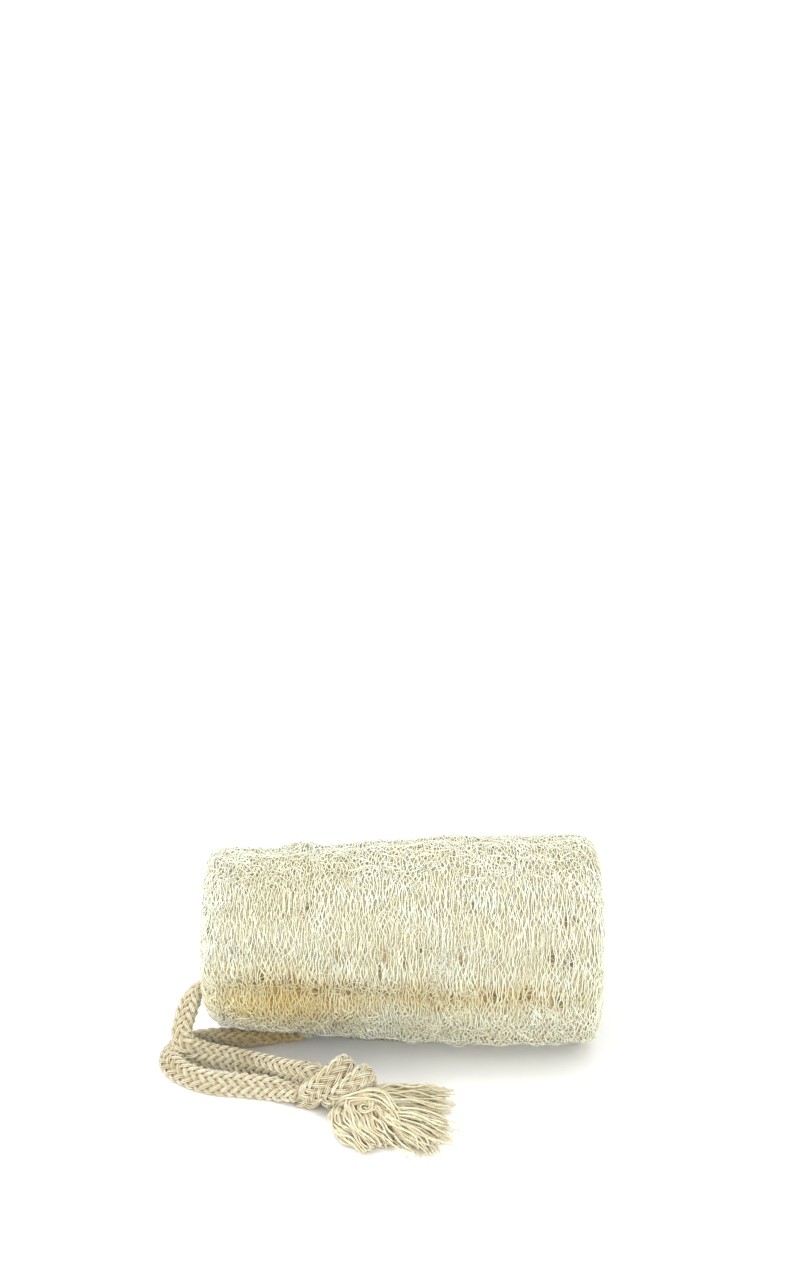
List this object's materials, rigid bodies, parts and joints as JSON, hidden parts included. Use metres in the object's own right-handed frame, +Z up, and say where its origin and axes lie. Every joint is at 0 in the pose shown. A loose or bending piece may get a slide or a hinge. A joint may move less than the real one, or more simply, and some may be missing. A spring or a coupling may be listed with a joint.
{
  "type": "natural loofah sponge",
  "caption": "Short cylinder of dried loofah gourd with seed channels through it, on a doubled braided cotton cord that ends in a knot with frayed ends.",
  "frame": {"origin": "on the surface that the sponge lies on, under the middle of the sponge", "axes": "+X along the sponge, away from the end that the cord comes out of; +Z up; the knot and the frayed ends lie in front, at -Y"},
  "size_m": [0.1662, 0.1333, 0.0795],
  "materials": {
    "dried_loofah_fibre": "dried plant fibre net, matt, pale cream, with yellower fibre deeper in",
    "braided_cotton": "undyed braided cotton, matt",
    "cotton_yarn": "undyed loose cotton yarns, matt"
  },
  "bodies": {
    "root": {"loofah_sponge": "dried_loofah_fibre", "cord_front_strand": "braided_cotton", "cord_inner_bight": "braided_cotton", "cord_under_strand": "braided_cotton", "cord_knot": "braided_cotton", "cord_tassel": "cotton_yarn"}
  },
  "joints": []
}
